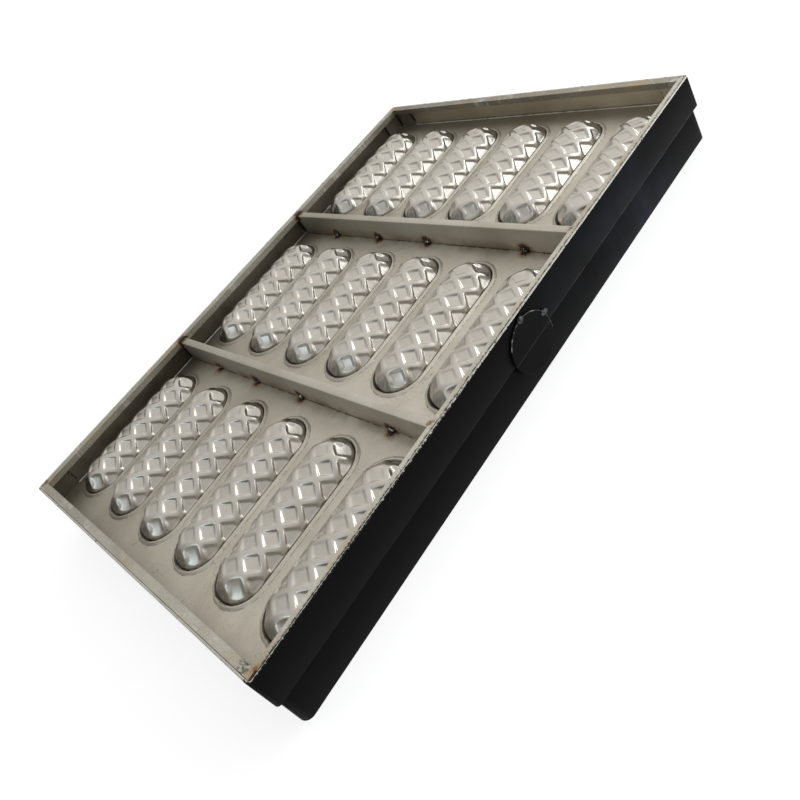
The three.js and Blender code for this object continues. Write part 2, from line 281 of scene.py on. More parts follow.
# Painted shadow: dark dashes along the seam between the right rail and the black sheet
SEAM_SHADOW = colour(0.05, 0.046, 0.038)
SEAM_REACH = in_mm(0.75, 0.3)
RIGHT_SEAM = SKIRT_HIGH.x - SKIRT_SHEET - 0.7 * MM
SMEAR = colour(0.15, 0.135, 0.11)
SMEAR_REACH = in_mm(8, 3)
NEAR_SMEAR = Vector((0.184, -0.294, RIM))

# Drawn steel of the cups, with a painted blue-grey reflection on the tips, and darkened at the foot, partly
# dirty and partly painted shade
CUP_DULL = colour(0.53, 0.50, 0.45)
CUP_BRIGHT = colour(0.62, 0.59, 0.54)
# Painted reflection: the tips tinted dark blue-grey
TIP_REFLECTION = colour(0.16, 0.18, 0.195)
TIP_REFLECTION_REACH = in_mm(9, 4.5)
TIP_REFLECTION_HALF = in_mm(9.5, 7)
# Dark foot of each cup: dirty, and painted shade in the collar's gap
CUP_DIRT_AND_SHADE = colour(0.035, 0.032, 0.028)
CUP_FOOT_RAGGED = 1.0 * MM
CUP_FOOT_REACH = in_mm(1.5, 1.0)

# Black coating: a painted sheen towards the far end, chips at the rim, and a hem scuffed grey with a painted
# glint
COAT_GLOSS = 0.036
# Painted shade: less gloss on the coating's near end face, so it reads darker
SHADED_NEAR_GLOSS = 0.012
COAT_DARK = colour(0.0035, 0.0031, 0.0026)
COAT_LIGHT = colour(0.0053, 0.0056, 0.0062)
COAT_SPECK = colour(0.06, 0.055, 0.05)
# Painted sheen towards the far end
COAT_SHEEN = colour(0.016, 0.020, 0.028)
SHEEN_START = (0.0, 0.18)
SHEEN_END = (0.275, 0.2)
CHIP = colour(0.34, 0.31, 0.26)
CHIP_RAGGED = 4.0 * MM
CHIP_REACH = in_mm(0.4, 0.2)
CHIP_ALONG = (-0.3, 0.05)
# Hem scuffed grey, partly a painted glint along the lower edge
HEM_WEAR_GLINT = colour(0.05, 0.052, 0.055)
HEM_RISE = 0.5 * MM
HEM_REACH = in_mm(0.7, 0.2)
HEM_ALONG = (-0.2, 0.2)

# Cut edge of the black sheet, and paint over the right one
PAINT = colour(0.006, 0.0055, 0.005)
EDGE_DULL = colour(0.45, 0.42, 0.37)
EDGE_BRIGHT = colour(0.78, 0.76, 0.72)
EDGE_SPOT = colour(0.05, 0.045, 0.04)
EDGE_RUST = colour(0.2, 0.1, 0.05)
EDGE_GLOSS = 0.1
EDGE_RAGGED = 4.0
EDGE_BARED = 0.4
EDGE_ALONG = (-0.25, 0.1)
EDGE_ALONG_SHARE = 1.1
RIGHT_EDGE = in_mm(9, 6)
RIM_BARE = colour(0.42, 0.38, 0.34)

# Floor
FLOOR_HALF = 40
FLOOR_DROP = 0.2 * MM
FLOOR_DULL = colour(0.30, 0.30, 0.30)
FLOOR_BRIGHT = colour(0.34, 0.34, 0.34)
FLOOR_GLOW = 0.80

# Windows of the studio: place, aim, size, power and tint
WINDOWS = {
    "far_window": ((0.85, 2.3, 1.05), (0, 0, 0), (1.6, 1.3), 22, (0.86, 0.94, 1.0)),
    "right_window": ((1.9, 1.6, 1.1), (0, 0, 0), (0.9, 1.0), 4.0, (1.0, 0.99, 0.97)),
    "near_window": ((0.14, -1.36, 1.74), (0, -0.1, 0.05), (0.94, 0.78), 3.2, (0.70, 0.87, 1.0)),
}

# Surroundings
SKY_TINT = colour(1.0, 0.985, 0.955)
SKY_BRIGHT_SIDE = Vector((-0.15, 0.82, 0.55))
SKY_BRIGHT = 1.0
SKY_DIM = 0.15
SKY_DIM_FROM = -0.5

# Camera, fitted to the photograph
CAMERA_AT = Vector((578.8, -272.1, 429.6)) * MM
CAMERA_AIM = Vector((5.4, 17.3, 37.0)) * MM
CAMERA_ROLL = math.radians(-35.93)
IMAGE_SIDE = 800
FOCAL_PIXELS = 793.0
CENTRE_PIXEL = (377.0, 299.3)
SENSOR = 36.0
CLIP_START = 0.01


class Graph:
    """Builds one material's nodes with short calls."""

    def __init__(self, name):
        self.material = bpy.data.materials.new(name)
        self.material.use_nodes = True
        self.tree = self.material.node_tree
        self.shader = self.tree.nodes["Principled BSDF"]
        self.place = self.add("ShaderNodeTexCoord").outputs["Object"]
        axes = self.add("ShaderNodeSeparateXYZ", {0: self.place}).outputs
        self.x, self.y, self.z = axes["X"], axes["Y"], axes["Z"]

    def add(self, kind, inputs=None, **settings):
        node = self.tree.nodes.new(kind)
        for key, value in settings.items():
            setattr(node, key, value)
        for key, value in (inputs or {}).items():
            self.put(node.inputs[key], value)
        return node

    def put(self, socket, value):
        if isinstance(value, bpy.types.NodeSocket):
            self.tree.links.new(value, socket)
        else:
            socket.default_value = value

    def math(self, operation, first, second=0.0):
        return self.add("ShaderNodeMath", {0: first, 1: second}, operation=operation).outputs[0]

    def plus(self, first, second):
        return self.math("ADD", first, second)

    def times(self, first, second):
        return self.math("MULTIPLY", first, second)

    def most(self, first, second):
        return self.math("MAXIMUM", first, second)

    def without(self, mask):
        return self.math("SUBTRACT", 1.0, mask)

    def away(self, value, middle=0.0):
        """Distance of a value from a middle."""
        return self.math("ABSOLUTE", self.math("SUBTRACT", value, middle))

    def varied(self, value, spread, least):
        """A value from 0 to 1, spread out above the least."""
        return self.plus(self.times(value, spread), least)

    def mix(self, factor, first, second, blend="MIX"):
        inputs = {"Factor": factor, 6: first, 7: second}
        return self.add("ShaderNodeMix", inputs, data_type="RGBA", blend_type=blend).outputs[2]

    def layer(self, base, tint, mask, share=1.0):
        """A tint laid over a base colour through a share of a mask."""
        return self.mix(mask if share == 1.0 else self.times(mask, share), base, tint)

    def step(self, value, low, high):
        """0 below low, 1 above high, smooth between; the other way round where low is above high."""
        turned = low > high
        inputs = {"Value": value, "From Min": min(low, high), "From Max": max(low, high)}
        inputs["To Min"] = 1.0 if turned else 0.0
        inputs["To Max"] = 0.0 if turned else 1.0
        return self.add("ShaderNodeMapRange", inputs, interpolation_type="SMOOTHSTEP").outputs[0]

    def noise(self, scale, detail=3.0, roughness=0.55, stretch=(1, 1, 1)):
        """Cloudy values from 0 to 1, scale in features per metre."""
        moved = self.add("ShaderNodeMapping", {"Vector": self.place, "Scale": stretch}).outputs[0]
        inputs = {"Vector": moved, "Scale": scale, "Detail": detail, "Roughness": roughness}
        return self.add("ShaderNodeTexNoise", inputs).outputs[0]

    def ragged(self, reach, scale, detail, roughness=0.55):
        """Cloudy shift of up to half a reach either way, which breaks up an edge."""
        return self.times(self.math("SUBTRACT", self.noise(scale, detail, roughness), 0.5), reach)

    def painted(self, name):
        """Values that the mesh carries under a name."""
        return self.add("ShaderNodeAttribute", attribute_name=name).outputs["Fac"]

    def height(self, *layers):
        """Normal from several (height, depth in metres) layers."""
        normal = None
        for value, depth in layers:
            inputs = {"Height": value, "Distance": depth, "Strength": 1.0}
            bump = self.add("ShaderNodeBump", inputs)
            if normal is not None:
                self.put(bump.inputs["Normal"], normal)
            normal = bump.outputs[0]
        return normal

    def nearest(self, points):
        """Distance to the nearest of some points of the mould."""
        nearest = None
        for point in points:
            inputs = {0: self.place, 1: point}
            distance = self.add("ShaderNodeVectorMath", inputs, operation="DISTANCE").outputs["Value"]
            nearest = distance if nearest is None else self.math("MINIMUM", nearest, distance)
        return nearest

    def surface(self, **sockets):
        for key, value in sockets.items():
            name = key.replace("_", " ").title().replace("Ior", "IOR")
            self.put(self.shader.inputs[name], value)
        return self.material


# Materials

def rust_layers(graph, base):
    """Burnt ring and rust-brown halo round each weld, and rust alone on other places, over a base colour."""
    ragged = graph.ragged(RUST_RAGGED, 420, 4)
    reach = graph.plus(graph.nearest(weld_points()), ragged)
    halo = graph.step(reach, *HALO_REACH)
    burnt = graph.step(reach, *BURNT_REACH)
    spots = graph.step(graph.plus(graph.nearest(rust_points()), ragged), *SPOT_REACH)
    tint = graph.mix(graph.noise(500, 3), RUST_ORANGE, RUST_BROWN)
    base = graph.layer(base, tint, halo, 0.9)
    base = graph.layer(base, graph.mix(0.5, tint, RUST_DARK), spots)
    return graph.layer(base, BURNT, burnt), graph.most(halo, spots)


def plate_stains_and_shade(graph, base):
    """Plate with painted shade towards the far and left walls, scratched, and with brown painted shade beside
    each bar and a dark painted shadow line along its foot.
    """
    # Painted shade towards the far and left walls
    blotch = graph.ragged(WALL_RAGGED, 70, 4)
    far = graph.step(graph.plus(graph.y, blotch), *(SKIRT_HIGH.y - reach for reach in FAR_REACH))
    left = graph.step(graph.plus(graph.x, blotch), *(SKIRT_LOW.x + reach for reach in LEFT_REACH))
    base = graph.layer(base, WALL_SHADE, graph.most(far, left), 0.6)
    inputs = {0: graph.place, 1: graph.noise(30, 3)}
    bent = graph.add("ShaderNodeVectorMath", inputs, operation="ADD").outputs[0]
    inputs = {"Vector": bent, "Scale": SCRATCH_CELLS}
    cells = graph.add("ShaderNodeTexVoronoi", inputs, feature="DISTANCE_TO_EDGE").outputs["Distance"]
    scratches = graph.times(graph.step(cells, 0.012, 0.004), graph.step(graph.noise(22, 3), 0.48, 0.6))
    base = graph.layer(base, SCRATCH, scratches, 0.6)
    for bar in BARS:
        # Painted shade beside each bar, and a painted shadow line along its foot
        away = graph.away(graph.y, bar_middle(bar) - BAR_THICKNESS / 2)
        brown = graph.times(graph.step(away, *BAR_SHADE_REACH), graph.step(graph.noise(45, 4), 0.35, 0.65))
        base = graph.layer(base, BAR_SHADE, brown, 0.5)
        line = graph.times(graph.step(away, *BAR_FOOT_SHADOW_REACH), graph.step(graph.noise(160, 4), 0.4, 0.55))
        base = graph.layer(base, BAR_FOOT_SHADOW, line, 0.7)
    return base


def rail_wear(graph, base):
    """Rail pitted, flecked, scraped and tanned, with paint and painted shadow dashes along its right edge."""
    pits = graph.step(graph.noise(1000, 3, 0.7), 0.54, 0.62)
    base = graph.layer(base, PITTED, pits, 0.5)
    flecks = graph.step(graph.noise(800, 3, 0.7, stretch=(1.3, 0.7, 1)), 0.58, 0.66)
    base = graph.layer(base, FLECKED, flecks, 0.6)
    scraped = graph.step(graph.noise(60, 5, 0.7, stretch=(1, 1, 0.2)), 0.56, 0.66)
    base = graph.layer(base, SCRAPED, scraped, 0.45)
    tanned = graph.step(graph.noise(21, 4, 0.6), 0.50, 0.66)
    base = graph.layer(base, TANNED, tanned, 0.5)

    ragged = graph.ragged(CORNER_RAGGED, 260, 4, 0.7)
    near = graph.step(graph.plus(graph.y, ragged), *(SKIRT_LOW.y + reach for reach in CORNER_REACH))
    near = graph.times(near, graph.step(graph.x, RAIL_RIGHT - CORNER_WIDTH, RAIL_RIGHT))
    base = graph.layer(base, CORNER_TAN, near, 0.55)
    lapped = graph.plus(graph.x, graph.ragged(LAP_RAGGED, 620, 5, 0.8))
    lapped = graph.plus(lapped, graph.times(graph.y, LAP_SLANT))
    lapped = graph.step(lapped, *(SKIRT_HIGH.x - reach for reach in LAP_REACH))
    base = graph.layer(base, LAPPED, lapped, 0.9)
    # Painted shadow: dark dashes along the seam by the right edge
    broken = graph.step(graph.noise(430, 4, 0.65), 0.47, 0.54)
    dashes = graph.times(graph.step(graph.away(graph.x, RIGHT_SEAM), *SEAM_REACH), broken)
    base = graph.layer(base, SEAM_SHADOW, dashes, 0.8)
    smeared = graph.plus(graph.nearest([NEAR_SMEAR]), graph.times(ragged, 0.5))
    smeared = graph.times(graph.step(smeared, *SMEAR_REACH), graph.step(graph.noise(330, 4), 0.4, 0.56))
    return graph.layer(base, SMEAR, smeared)


def bare_steel(name, rusty=False, grimy_shaded=False, worn_rail=False, dark_foot=False):
    """Dull hot-rolled steel with cloudy stains, fine grain and scratches, rusty round its welds."""
    graph = Graph(name)
    light, dark = STEELS[name]
    clouds = graph.noise(14, 5, 0.6)
    grain = graph.noise(1500, 2, 0.6)
    scratches = graph.noise(900, 2, 0.7, stretch=(1, 0.03, 1))
    base = graph.mix(graph.step(clouds, 0.32, 0.68), dark, light)
    base = graph.mix(graph.times(graph.step(grain, 0.35, 0.75), 0.22), base, dark, "MULTIPLY")
    # Painted light and shade: darker to the left of the tray, lighter to the right
    tone = graph.mix(graph.step(graph.x, SKIRT_LOW.x, SKIRT_HIGH.x), PAINTED_SHADE_LEFT, PAINTED_LIGHT_RIGHT)
    base = graph.mix(1.0, base, tone, "MULTIPLY")
    metal = STEEL_METAL
    rough = graph.plus(graph.varied(clouds, 0.22, 0.38), graph.times(grain, 0.12))
    if worn_rail:
        base = rail_wear(graph, base)
    if dark_foot:
        # Darker brown towards the bars' foot
        low = graph.step(graph.z, *(PLATE_TOP + reach for reach in FOOT_REACH))
        low = graph.times(low, graph.step(graph.noise(38, 4), 0.36, 0.6))
        base = graph.layer(base, FOOT_DARKENING, low, 0.6)
    if grimy_shaded:
        # Dirt and painted shade that the mesh carries on the collars and in their gaps
        grime_and_shade = graph.painted("grime_and_shade")
        broken = graph.times(grime_and_shade, graph.step(graph.noise(210, 5, 0.7), 0.38, 0.58))
        dirt_and_shade = graph.most(broken, graph.step(grime_and_shade, 0.8, 1.0))
        base = plate_stains_and_shade(graph, graph.layer(base, GRIME_AND_SHADE, dirt_and_shade, 0.95))
        # Bead scuffed bright, partly a painted highlight along the wall's foot
        bead_wear_and_highlight = graph.times(graph.painted("worn_and_highlit"), graph.step(graph.noise(90, 3), 0.2, 0.55))
        base = graph.layer(base, RUBBED_AND_HIGHLIT, bead_wear_and_highlight)
        metal = graph.times(graph.without(dirt_and_shade), metal)
        rough = graph.plus(rough, graph.times(dirt_and_shade, 0.35))
    if rusty:
        base, rust = rust_layers(graph, base)
        metal = graph.times(graph.without(rust), metal)
    normal = graph.height((graph.noise(9, 2), 0.6 * MM), (scratches, 0.02 * MM), (grain, 0.025 * MM))
    return graph.surface(base_color=base, metallic=metal, roughness=rough, normal=normal)


def cup_steel():
    """Bright drawn steel of the cups, a little uneven from the press."""
    graph = Graph("cup_steel_drawn")
    clouds = graph.noise(60, 4, 0.6)
    drawn = graph.noise(1300, 2, 0.6, stretch=(1, 0.08, 1))
    base = graph.mix(graph.step(clouds, 0.3, 0.7), CUP_DULL, CUP_BRIGHT)
    # Painted reflection: the tips tinted dark blue-grey
    on_tip = graph.step(graph.away(graph.y), *(CUP_TIP - reach for reach in TIP_REFLECTION_REACH))
    tip_reflection = graph.times(on_tip, graph.step(graph.away(graph.x), *TIP_REFLECTION_HALF))
    streaks = graph.step(graph.noise(420, 3, 0.6, stretch=(1, 0.4, 0.1)), 0.3, 0.6)
    base = graph.layer(base, TIP_REFLECTION, graph.times(tip_reflection, graph.varied(streaks, 0.35, 0.35)))
    # Darker at the foot: dirty, and painted shade in the collar's gap
    dirt_and_shade = graph.step(graph.plus(graph.z, graph.ragged(CUP_FOOT_RAGGED, 300, 3)), *CUP_FOOT_REACH)
    base = graph.layer(base, CUP_DIRT_AND_SHADE, dirt_and_shade)
    rough = graph.varied(clouds, 0.16, 0.22)
    normal = graph.height((graph.noise(130, 2), 0.12 * MM), (drawn, 0.012 * MM))
    return graph.surface(base_color=base, metallic=1.0, roughness=rough, normal=normal)


def black_coat(name, gloss):
    """Black baked coating, satin, with faint orange peel, a painted sheen towards the far end, and scuffed
    patches with a painted glint at the hem.
    """
    graph = Graph(name)
    clouds = graph.noise(9, 5, 0.62)
    specks = graph.step(graph.noise(650, 3, 0.7), 0.66, 0.8)
    base = graph.mix(clouds, COAT_DARK, COAT_LIGHT)
    base = graph.layer(base, COAT_SPECK, specks, 0.35)
    # Painted sheen towards the far end
    far = graph.times(graph.step(graph.y, *SHEEN_START), graph.step(graph.y, *SHEEN_END))
    base = graph.layer(base, COAT_SHEEN, graph.times(far, graph.step(clouds, 0.35, 0.7)))
    chipped = graph.plus(graph.z, graph.ragged(CHIP_RAGGED, 700, 4, 0.75))
    chipped = graph.step(chipped, *(RIM - reach for reach in CHIP_REACH))
    base = graph.layer(base, CHIP, graph.times(chipped, graph.step(graph.y, *CHIP_ALONG)))
    # Hem scuffed grey, partly a painted glint along the lower edge
    hem = graph.step(graph.away(graph.z, SKIRT_LOW.z + HEM_RISE), *HEM_REACH)
    hem = graph.times(hem, graph.step(graph.y, *HEM_ALONG))
    base = graph.layer(base, HEM_WEAR_GLINT, graph.times(hem, graph.step(graph.noise(60, 4), 0.3, 0.6)))
    rough = graph.varied(clouds, 0.2, 0.33)
    normal = graph.height((graph.noise(6, 2), 0.5 * MM), (graph.noise(480, 2), 0.03 * MM))
    graph.surface(base_color=base, metallic=0.0, roughness=rough, normal=normal)
    return graph.surface(specular_ior_level=gloss)


def worn_edge(name):
    """Cut edge of the black sheet: paint laps over its outer side, and the rest is bright with dark spots."""
    graph = Graph(name)
    spots = graph.noise(260, 4, 0.65)
    along = graph.times(graph.step(graph.y, *EDGE_ALONG), EDGE_ALONG_SHARE)
    bared = graph.plus(graph.plus(graph.painted("across"), EDGE_BARED),
                       graph.plus(graph.ragged(EDGE_RAGGED, 420, 5, 0.75), along))
    right = graph.step(graph.x, *(SKIRT_HIGH.x - reach for reach in RIGHT_EDGE))
    painted = graph.times(graph.step(bared, 1.05, 0.85), right)
    bare = graph.mix(graph.noise(900, 2), EDGE_DULL, EDGE_BRIGHT)
    base = graph.layer(bare, EDGE_SPOT, graph.step(spots, 0.58, 0.66))
    base = graph.layer(base, EDGE_RUST, graph.step(graph.noise(40, 4), 0.66, 0.78))
    base = graph.layer(base, PAINT, painted)
    metal = graph.step(painted, 1.0, 0.6)
    rough = graph.varied(spots, 0.3, 0.3)
    normal = graph.height((spots, 0.05 * MM))
    graph.surface(base_color=base, metallic=metal, roughness=rough, normal=normal)
    return graph.surface(specular_ior_level=EDGE_GLOSS)


def rubbed_lit_rim(name):
    """Edge of the disc where the coating is scuffed through to the steel in streaks, which on the upper arc
    is partly a painted highlight.
    """
    graph = Graph(name)
    streaks = graph.noise(240, 4, 0.7)
    bare = graph.step(streaks, 0.46, 0.60)
    base = graph.mix(bare, PAINT, RIM_BARE)
    rough = graph.varied(streaks, 0.3, 0.25)
    normal = graph.height((streaks, 0.08 * MM))
    return graph.surface(base_color=base, metallic=bare, roughness=rough, normal=normal)


def weld_metal(name):
    """Lumpy weld metal with dark scale in its hollows."""
    graph = Graph(name)
    light, dark, scaled = WELDS[name]
    scale = graph.noise(600, 4, 0.6)
    base = graph.mix(graph.step(scale, scaled, 0.62), dark, light)
    rough = graph.varied(scale, 0.35, 0.28)
    normal = graph.height((scale, 0.25 * MM))
    return graph.surface(base_color=base, metallic=WELD_METAL, roughness=rough, normal=normal)


def floor_paper():
    graph = Graph("floor_paper")
    fibre = graph.noise(300, 3)
    base = graph.mix(fibre, FLOOR_DULL, FLOOR_BRIGHT)
    graph.surface(base_color=base, roughness=0.9, normal=graph.height((fibre, 0.02 * MM)))
    return graph.surface(emission_color=colour(1, 1, 1), emission_strength=FLOOR_GLOW)


# Meshes

def piece(name, mesh, stands_for=(), at=(0, 0, 0)):
    """A named piece of the mould, which rides on its only body."""
    obj = bpy.data.objects.new(name, mesh)
    bpy.context.scene.collection.objects.link(obj)
    obj.location = at
    bpy.context.view_layer.update()
    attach(obj, "root")
    if stands_for:
        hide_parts(*stands_for)
    return obj


def mesh_from(name, bm, materials, sharp=40):
    """Mesh with outward faces and smooth shading, apart from edges sharper than some degrees."""
    bmesh.ops.recalc_face_normals(bm, faces=bm.faces)
    mesh = bpy.data.meshes.new(name)
    bm.to_mesh(mesh)
    bm.free()
    mesh.shade_smooth()
    mesh.set_sharp_from_angle(angle=math.radians(sharp))
    for material in materials:
        mesh.materials.append(material)
    return mesh


def loft(bm, loops, materials=None):
    """Faces between neighbouring closed loops of points; gives the loops' vertices."""
    rings = [[bm.verts.new(point) for point in loop] for loop in loops]
    for band, (low, high) in enumerate(zip(rings, rings[1:])):
        for i, vert in enumerate(low):
            after = (i + 1) % len(low)
            face = bm.faces.new((vert, low[after], high[after], high[i]))
            face.material_index = materials[band] if materials else 0
    return rings


def fill(bm, rings, up):
    """Level face between an outer ring and the rings of its holes."""
    edges = [bm.edges.get((ring[i - 1], ring[i])) for ring in rings for i in range(len(ring))]
    bmesh.ops.triangle_fill(bm, use_beauty=True, edges=edges, normal=(0, 0, 1 if up else -1))


def tray_loop(inset, radius, z, wander=0.0):
    """Rounded rectangle, drawn in from the tray's outer edge, a little uneven along its sides."""
    across = (SKIRT_HIGH.x - SKIRT_LOW.x) / 2 - inset - radius
    along = (SKIRT_HIGH.y - SKIRT_LOW.y) / 2 - inset - radius
    corners = [(across, along), (-across, along), (-across, -along), (across, -along)]
    outline = []
    for quarter, (x, y) in enumerate(corners):
        for step in range(CORNER_STEPS + 1):
            turn = (quarter + step / CORNER_STEPS) * math.pi / 2
            outline.append(Vector((x + radius * math.cos(turn), y + radius * math.sin(turn), z)))
        next_x, next_y = corners[(quarter + 1) % 4]
        side = max(abs(next_x - x), abs(next_y - y))
        turn = (quarter + 1) * math.pi / 2
        out = Vector((math.cos(turn), math.sin(turn), 0)) * radius
        steps = round(side / SIDE_STEP)
        for step in range(1, steps):
            share = step / steps
            point = Vector((x + (next_x - x) * share, y + (next_y - y) * share, z)) + out
            uneven = noise.noise(Vector((point.x * WANDER_ALONG, point.y * WANDER_ALONG, z * WANDER_UP)))
            outline.append(point - out.normalized() * abs(uneven) * wander)
    centre = Vector((TRAY.x, TRAY.y, 0))
    return [point + centre for point in outline]


def sheet_band(inset, sheet, corner, foot, top):
    """Loops of a standing band of sheet with rounded cut edges, and each loop's finish and share across."""
    inner_corner = corner - sheet
    cut = CUT_EDGE
    soft = CUT_EDGE * CUT_ROUND

    def outer(drop, z):
        return tray_loop(inset + drop, corner - drop, z, SHEET_WANDER)

    def inner(drop, z):
        return tray_loop(inset + sheet - drop, inner_corner + drop, z, -SHEET_WANDER)

    low = [outer(0, foot + cut), outer(0, top - cut), outer(soft, top - soft), outer(cut, top)]
    high = [inner(cut, top), inner(soft, top - soft), inner(0, top - cut), inner(0, foot + cut)]
    base = [inner(cut, foot), outer(cut, foot), outer(soft, foot + soft)]
    finishes = [COAT] + [EDGE] * 5 + [INSIDE] + [COAT] * 4
    across = [0] * len(low) + [1] * len(high) + [0] * (len(base) + 1)
    return low + high + base + [low[0]], finishes, across


def build_band(name, node, inset, sheet, corner, foot, top, materials):
    loops, finishes, shares = sheet_band(inset, sheet, corner, foot, top)
    bm = bmesh.new()
    across = bm.verts.layers.float.new("across")
    for ring, share in zip(loft(bm, loops, finishes), shares):
        for vert in ring:
            vert[across] = share
    bmesh.ops.remove_doubles(bm, verts=bm.verts, dist=BAND_MERGE)
    bmesh.ops.recalc_face_normals(bm, faces=bm.faces)
    for face in bm.faces:
        # Painted light and shade by facing: inside faces that look along the tray take the far or near wall's
        # painted light, the rest the side walls' painted shade; the coating's near end takes a less glossy
        # copy, a painted shade
        if face.material_index == INSIDE and abs(face.normal.y) > SQUARE_ON:
            face.material_index = FAR_INSIDE if face.normal.y < 0 else NEAR_INSIDE
        elif face.material_index == COAT and face.normal.y < -SQUARE_ON:
            face.material_index = NEAR_COAT
    piece(name, mesh_from(name, bm, materials, sharp=60), [node])


# Cups

def cup_places():
    """Centre of each cup's foot, by node name."""
    places = {}
    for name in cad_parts:
        if name.startswith("cup_"):
            low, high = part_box(name)
            places[name] = Vector(((low.x + high.x) / 2, (low.y + high.y) / 2, low.z))
    return places


def along_cup():
    """Places along a cup from tip to tip, closer together towards its round ends."""
    straight = CUP_TIP - CUP_HALF
    turns = np.linspace(0, math.pi / 2, CUP_STEPS_END + 1)[1:]
    end = straight + CUP_HALF * np.sin(turns)
    middle = np.linspace(-straight, straight, CUP_STEPS_ALONG + 1)
    return np.concatenate([-end[::-1], middle, end])


def waffle(angle, along):
    """How far points of a cup lie in a pit (0 on a rib, 1 on a floor), its middle, flatness and depth."""
    points, _ = dome(angle, along, 0)
    row = np.abs(math.pi / 2 - angle) / ROW_ANGLE
    place = np.abs(along) / PIT_PITCH
    held = np.minimum(row, 2)
    one_way = held + 2 * place
    other_way = held - 2 * place
    distance = np.minimum(np.abs((one_way + 1) % 2 - 1), np.abs((other_way + 1) % 2 - 1))
    middle_one = 2 * np.floor(one_way / 2) + 1
    middle_other = 2 * np.floor(other_way / 2) + 1
    middle_row = (middle_one + middle_other) / 2
    middle_place = (middle_one - middle_other) / 4

    # Past the last crossings the ribs spread out to the foot, with a pit on the tip and one on each side
    x = np.abs(points[..., 0])
    y = np.abs(points[..., 1]) - CUP_TIP + CUP_HALF
    radius = np.hypot(x, y)
    turn = np.arctan2(x, y)
    spread = np.clip((radius - TIP_RIB_START) / (CUP_HALF - TIP_RIB_START), 0, 1)
    tip_rib = TIP_RIB_TURN * np.sin(np.minimum(spread / TIP_RIB_BENT, 1) * math.pi / 2)
    side_rib = SIDE_RIB_TURNS[0] + (SIDE_RIB_TURNS[1] - SIDE_RIB_TURNS[0]) * spread
    from_tip = (turn - tip_rib) * radius / RIB_SPAN
    from_side = (side_rib - turn) * radius / RIB_SPAN
    beyond = one_way > LAST_RIB
    on_tip = beyond & (from_tip < 0)
    on_side = beyond & (from_tip >= 0) & (from_side > 0)
    distance = np.where(beyond, np.minimum(one_way - LAST_RIB, np.abs(from_side)), distance)
    distance = np.where(on_side, np.minimum(distance, from_tip), distance)
    distance = np.where(on_tip, -from_tip, distance)
    band = np.where(on_side | on_tip, END_BAND, FOOT_BAND)
    distance = np.minimum(distance, RIB_FOOT + (points[..., 2] - band) / RIB_SPAN)
    share = np.clip((distance - RIB_TOP) / (RIB_FOOT - RIB_TOP), 0, 1) ** PIT_EDGE

    flatness = np.where(on_tip | (middle_row > 1), FOOT_PIT_FLATNESS, PIT_FLATNESS)
    flatness = np.where(on_side, SIDE_PIT_FLATNESS, flatness)
    depth = np.where((middle_row < 1) & ~on_tip, CROWN_PIT_DEPTH, PIT_DEPTH)
    depth = np.where(on_side, SIDE_PIT_DEPTH, depth)
    middle_row = np.minimum(middle_row, FOOT_PIT_ROW)
    for here, pit in ((on_side, SIDE_PIT), (on_tip, TIP_PIT)):
        middle_row = np.where(here, pit[0], middle_row)
        middle_place = np.where(here, pit[1], middle_place)
    side = np.where(angle < math.pi / 2, 1, -1)
    middle_angle = math.pi / 2 - side * middle_row * ROW_ANGLE
    return share, middle_angle, np.sign(along) * middle_place * PIT_PITCH, flatness, depth


def dome(angle, along, inset):
    """Points and outward normals of a smooth cup without its pattern."""
    half = CUP_HALF - FOOT_FLARE
    straight = CUP_TIP - CUP_HALF
    past = np.clip((np.abs(along) - straight) / CUP_HALF, 0, 1)
    round_off = np.sqrt(1 - past * past)
    x = (half - inset) * round_off * np.cos(angle)
    y = np.sign(along) * (np.minimum(np.abs(along), straight) + past * (half - inset))
    z = (CUP_RISE - inset) * round_off * np.sin(angle)
    slope = np.stack([x / half ** 2, np.sign(along) * past / half, z / CUP_RISE ** 2], axis=-1)
    normal = slope / np.maximum(np.linalg.norm(slope, axis=-1, keepdims=True), 1e-9)
    return np.stack([x, y, z], axis=-1), normal


def evened(values):
    """Grid of values, each averaged with its neighbours, so slanted edges run without teeth."""
    for axis in (0, 1):
        ends = [(1, 1) if axis == turned else (0, 0) for turned in (0, 1)]
        padded = np.moveaxis(np.pad(values, ends, mode="edge"), axis, 0)
        values = np.moveaxis((padded[:-2] + 2 * padded[1:-1] + padded[2:]) / 4, 0, axis)
    return values


def cup_skin(inset):
    """Grid of points of one skin of a cup: flat-floored pits in a dome whose foot flares out."""
    turns = np.linspace(0, math.pi, CUP_STEPS_ROUND + 1)
    angle, along = np.meshgrid(turns, along_cup(), indexing="ij")
    points, _ = dome(angle, along, inset)
    share, middle_angle, middle_along, flatness, depth = waffle(angle, along)
    middles, normals = dome(middle_angle, middle_along, inset)
    drop = ((points - middles) * normals).sum(axis=-1) * flatness + depth
    points = points - normals * evened(np.maximum(drop, 0) * share)[..., None]
    past = np.clip((np.abs(along) - CUP_TIP + CUP_HALF) / CUP_HALF, 0, 1)
    flare = FOOT_FLARE * np.clip(1 - points[..., 2] / FLARE_RISE, 0, 1) ** 2
    points[..., 0] += flare * np.sqrt(1 - past * past) * np.sign(np.cos(angle))
    points[..., 1] += flare * past * np.sign(along)
    return points


